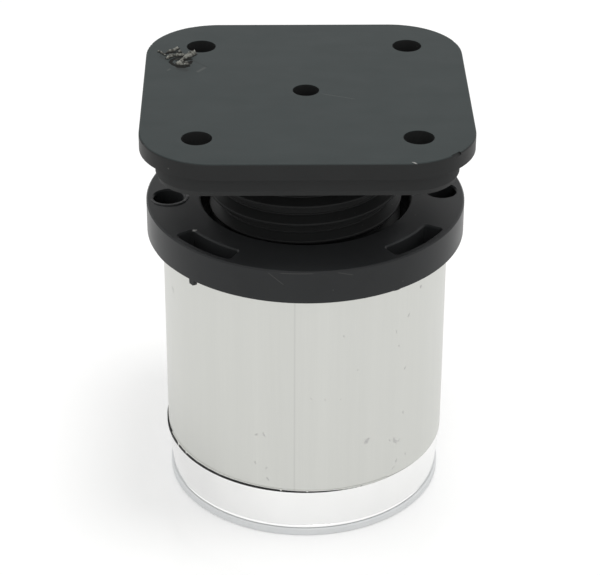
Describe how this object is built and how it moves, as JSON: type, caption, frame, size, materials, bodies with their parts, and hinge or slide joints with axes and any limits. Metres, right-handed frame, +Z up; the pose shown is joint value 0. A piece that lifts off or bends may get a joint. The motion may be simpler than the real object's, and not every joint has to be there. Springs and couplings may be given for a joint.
{
  "type": "adjustable furniture foot",
  "caption": "Round furniture foot: a metal tube with a polished base and a black square top plate on a threaded stud, turned to adjust height.",
  "frame": {"origin": "on the floor, at the foot of the tube's axis", "axes": "+Z up along the tube and the stud, +X and +Y along the plate's sides"},
  "size_m": [0.0668, 0.0668, 0.0907],
  "materials": {
    "black_plastic": "moulded",
    "satin_aluminium": "satin",
    "polished_metal": "polished",
    "grey_plastic": "moulded"
  },
  "bodies": {
    "glide": {"floor_glide": "grey_plastic"},
    "leg": {"base_ring": "polished_metal", "base_plug": "black_plastic", "leg_tube": "satin_aluminium", "top_insert": "black_plastic"},
    "plate": {"mounting_plate": "black_plastic"}
  },
  "joints": [
    {"name": "leg_turn", "type": "hinge", "parent": "glide", "child": "leg", "pos_m": [0, 0, 0], "axis": [0, 0, 1], "range_deg": [-450, 1260]},
    {"name": "plate_lift", "type": "slide", "parent": "glide", "child": "plate", "axis": [0, 0, 1], "range_m": [-0.0141, 0.0051]}
  ],
  "couplings": [
    {"joint": "plate_lift", "follows": "leg_turn", "m_per_rad": -0.00063662}
  ]
}
